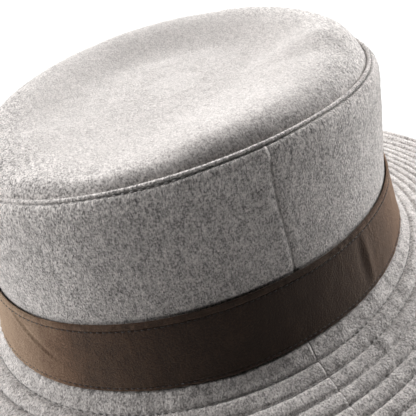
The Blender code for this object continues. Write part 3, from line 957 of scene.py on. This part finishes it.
def make_sweatband(ribbed, label, sewing):
    """The band that touches the head, a tab over its joint, a blank label, and the row that sews it in."""
    radius, height = wall_inside(np.linspace(26, 1, 26) * MM, INSIDE_SWEATBAND)
    radius = np.append(radius, radius[-1])
    height = np.append(height, -3 * MM)
    points = place(radius, height, span(95.1, 454.9, 420))
    wave = 0.25 * MM * (unevenness(points * [1, 1, 0.3], 24 * MM, 71) - 1)
    points = points + normals_of(points, False) * wave[..., None]
    cloth_piece("head_band", points, SWEATBAND, ribbed, ["sweatband"])
    make_patch("head_band_tab", (24, 9), (88, 102), 0.5 * MM, ribbed, "sweatband_joint_tab")
    make_patch("blank_label", (22, 10), (116, 134), 0.3 * MM, label, "size_label")
    seat_radius = CROWN_BASE_RADIUS - INSIDE_SWEATBAND - SWEATBAND - 0.35 * MM
    seam_height = -1.2 * MM
    ring = ring_angles(720)
    path = place(seat_radius, seam_height, ring)
    inward = place(seat_radius - MM, seam_height, ring) - path
    node = "sweatband_stitching"
    stitches("head_band_stitches", path, inward, 3.5 * MM, 0.5 * MM, sewing, [node])


def make_patch(name, heights, degrees, thickness, look, node):
    """A small piece that lies flat on the sweatband's inner face. Its heights are in millimetres."""
    depth = INSIDE_SWEATBAND + SWEATBAND + 0.7 * MM
    radius, height = wall_inside(np.linspace(*heights, 16) * MM, depth)
    cloth_piece(name, place(radius, height, span(*degrees, 30)), thickness, look, [node])


def make_tape(tape):
    """Tape over the raw edges where crown and brim meet."""
    radius, height = wall_inside(np.linspace(6.5, 0.6, 8) * MM, INSIDE_CANVAS)
    radius = np.append(radius, radius[-1])
    height = np.append(height, -4 * MM)
    strip = place(radius, height, full_turn(240))
    cloth_piece("seam_tape", strip, 0.3 * MM, tape, ["crown_seam_tape"], closed=True)


# ---- Camera, floor and light -------------------------------------------------------------------------------

CAMERA_AZIMUTH = math.radians(-112.63)
CAMERA_ELEVATION = math.radians(35.95)
CAMERA_ROLL = math.radians(-8.26)
CAMERA_DISTANCE = 0.30483
CAMERA_TARGET = Vector((0.00725, -0.03003, 0.01046 + SEAM_HEIGHT))
CAMERA_LENS = 47.14
CAMERA_SHIFT = (-0.0970, -0.0189)

FLOOR_HALF_SIZE = 1.8
FLOOR_GREY = 0.62
ROOM_LIGHT = 0.022
ROOM_SEEN = 0.95


def make_camera():
    cos_up = math.cos(CAMERA_ELEVATION)
    level = Vector((math.sin(CAMERA_AZIMUTH), -math.cos(CAMERA_AZIMUTH), 0))
    back = cos_up * level + Vector((0, 0, math.sin(CAMERA_ELEVATION)))
    right = Vector((0, 0, 1)).cross(back).normalized()
    up = back.cross(right)
    rolled_right = math.cos(CAMERA_ROLL) * right + math.sin(CAMERA_ROLL) * up
    rolled_up = math.cos(CAMERA_ROLL) * up - math.sin(CAMERA_ROLL) * right
    data = bpy.data.cameras.new("Camera")
    data.sensor_width = 36
    data.lens = CAMERA_LENS
    data.shift_x, data.shift_y = CAMERA_SHIFT
    data.clip_start = 0.01
    camera = bpy.data.objects.new("Camera", data)
    bpy.context.scene.collection.objects.link(camera)
    turn = Matrix((rolled_right, rolled_up, back)).transposed()
    camera.matrix_world = Matrix.Translation(CAMERA_TARGET + back * CAMERA_DISTANCE) @ turn.to_4x4()
    bpy.context.scene.camera = camera


def make_floor():
    mesh = bpy.data.meshes.new("floor")
    half = FLOOR_HALF_SIZE
    corners = [(-half, -half, 0), (half, -half, 0), (half, half, 0), (-half, half, 0)]
    mesh.from_pydata(corners, [], [(0, 1, 2, 3)])
    floor = bpy.data.objects.new("floor", mesh)
    bpy.context.scene.collection.objects.link(floor)
    look = Look("white_floor")
    look.set(Base_Color=(FLOOR_GREY, FLOOR_GREY, FLOOR_GREY, 1.0), Roughness=0.9, Specular_IOR_Level=0.1)
    mesh.materials.append(look.material)


def area_light(name, place_at, aim, size, power):
    data = bpy.data.lights.new(name, "AREA")
    data.shape = "RECTANGLE"
    data.size, data.size_y = size
    data.energy = power
    light = bpy.data.objects.new(name, data)
    light.location = place_at
    light.rotation_euler = (Vector(aim) - Vector(place_at)).to_track_quat("-Z", "Y").to_euler()
    bpy.context.scene.collection.objects.link(light)


def make_lights():
    """A large light high behind the hat, one low at each side, and a dim room whose walls look white."""
    world = bpy.data.worlds.new("studio")
    world.use_nodes = True
    nodes, links = world.node_tree.nodes, world.node_tree.links
    dim, seen = nodes["Background"], nodes.new("ShaderNodeBackground")
    for shade, strength in ((dim, ROOM_LIGHT), (seen, ROOM_SEEN)):
        shade.inputs["Color"].default_value = (1, 1, 1, 1)
        shade.inputs["Strength"].default_value = strength
    chooser, ray = nodes.new("ShaderNodeMixShader"), nodes.new("ShaderNodeLightPath")
    links.new(ray.outputs["Is Camera Ray"], chooser.inputs[0])
    links.new(dim.outputs[0], chooser.inputs[1])
    links.new(seen.outputs[0], chooser.inputs[2])
    links.new(chooser.outputs[0], nodes["World Output"].inputs["Surface"])
    bpy.context.scene.world = world
    middle = (0, 0, 0.06)
    area_light("back_top", (1.80, -0.25, 2.04), middle, (1.7, 1.7), 84)
    area_light("left_side", (0.95, 2.20, 0.90), middle, (1.2, 1.3), 103)
    area_light("right_side", (0.40, -2.27, 0.76), middle, (1.2, 1.3), 116)
    bpy.context.scene.view_settings.view_transform = "Standard"


# ---- The hat -----------------------------------------------------------------------------------------------


def make_hat():
    # The side wool is painted paler over the crown's shoulder: painted light.
    side_wool = wool_look("side_wool", (0.0006, 0.0017), "UV", 0.43, 0.92, painted_light=1.22)
    tip_wool = wool_look("tip_wool", (0.0010, 0.0006), "Object", 0.43, 1.0, 0.36)
    brim_wool = wool_look("brim_wool", (0.0009, 0.0012), "UV", 0.44, 0.80)
    grey_thread = thread_look("grey_thread", (0.30, 0.29, 0.28))
    dark_thread = thread_look("dark_thread", (0.016, 0.011, 0.009))
    make_tip(tip_wool, side_wool, grey_thread)
    for half in ("front", "back"):
        make_crown_side(half, side_wool)
        make_brim(half, True, brim_wool)
        make_brim(half, False, brim_wool)
    for index in range(ROW_COUNT):
        make_row(index, grey_thread)
    make_band(suede_look("suede"), woven_look("twill", (0.05, 0.035, 0.027)), dark_thread)
    make_canvas(woven_look("canvas", (0.62, 0.60, 0.55)))
    make_lining(woven_look("satin", (0.17, 0.16, 0.16), 0.0004, 0.4, 0.5, 0.15))
    ribbed = woven_look("ribbed_cotton", (0.05, 0.047, 0.047), 0.0011, 0.8, 0.4)
    label = woven_look("label", (0.70, 0.68, 0.62), 0.0004, 0.6, 0.2, 0.1)
    make_sweatband(ribbed, label, dark_thread)
    make_tape(woven_look("tape", (0.30, 0.29, 0.28), 0.0005))


make_camera()
make_floor()
make_lights()
make_hat()
